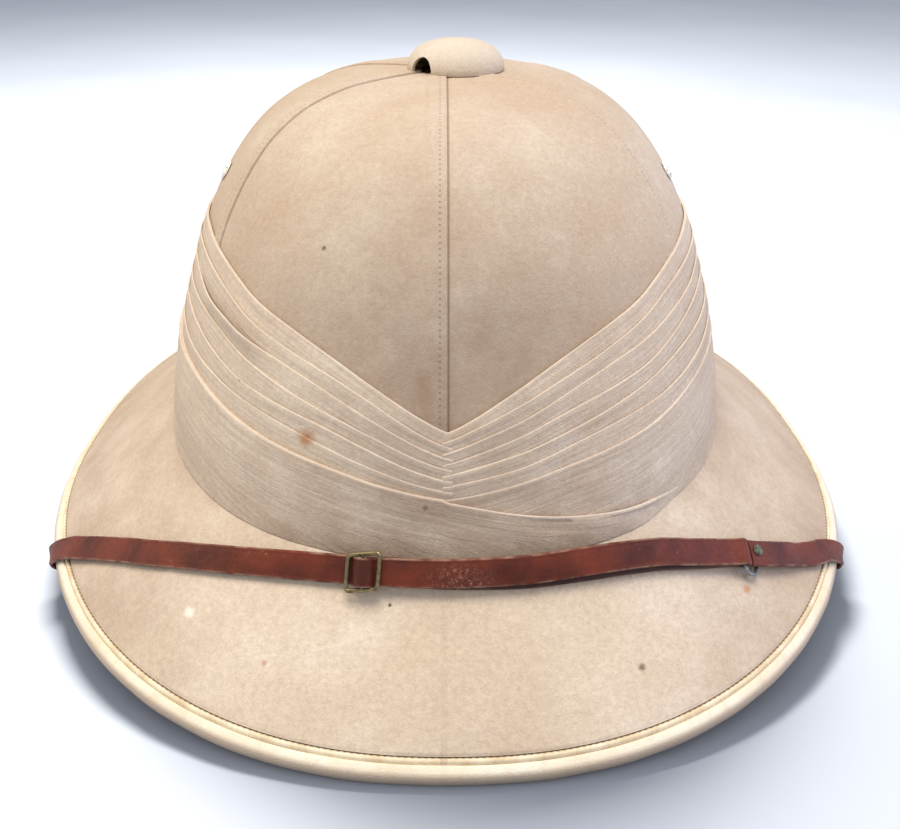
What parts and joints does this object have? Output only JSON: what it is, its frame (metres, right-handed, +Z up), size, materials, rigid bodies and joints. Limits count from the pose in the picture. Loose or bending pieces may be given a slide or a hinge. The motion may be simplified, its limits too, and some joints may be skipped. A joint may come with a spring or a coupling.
{
  "type": "pith sun helmet",
  "caption": "Cloth-covered pith sun helmet with a wide bound brim, a folded cloth band, a vent cap and a leather chin strap worn up over the brim, resting on its rim",
  "frame": {"origin": "on the surface that the helmet rests on, below the middle of its bounding box", "axes": "+Z up, the front of the helmet towards -Y, its right-hand side as seen from the front towards +X"},
  "size_m": [0.2818, 0.368, 0.1714],
  "materials": {
    "pith": "bare pressed pith with a buff paper skin",
    "cover_cloth": "plain cotton drill, faded tan",
    "band_cloth": "fine cotton cloth in narrow folds",
    "binding_leather": "cream leather, matt, lightly soiled",
    "strap_leather": "red-brown polished leather, scuffed",
    "brass": "tarnished",
    "steel": "dull, lightly corroded"
  },
  "bodies": {
    "root": {"pith_body": "pith", "cover_panel_1": "cover_cloth", "cover_panel_2": "cover_cloth", "cover_panel_3": "cover_cloth", "cover_panel_4": "cover_cloth", "cover_panel_5": "cover_cloth", "cover_panel_6": "cover_cloth", "brim_cover": "cover_cloth", "edge_welt": "binding_leather", "edge_binding": "binding_leather", "fold_right_1": "band_cloth", "fold_right_2": "band_cloth", "fold_right_3": "band_cloth", "fold_right_4": "band_cloth", "fold_right_5": "band_cloth", "fold_right_6": "band_cloth", "fold_left_1": "band_cloth", "fold_left_2": "band_cloth", "fold_left_3": "band_cloth", "fold_left_4": "band_cloth", "fold_left_5": "band_cloth", "fold_left_6": "band_cloth", "band_base": "band_cloth", "band_wrap": "band_cloth", "vent_cap": "cover_cloth", "vent_pin": "steel", "eyelet_right": "brass", "eyelet_left": "brass", "chin_strap": "strap_leather", "strap_tab": "strap_leather", "strap_buckle": "brass", "strap_hook": "steel", "strap_rivet": "steel", "anchor_right": "steel", "anchor_left": "steel"}
  },
  "joints": []
}
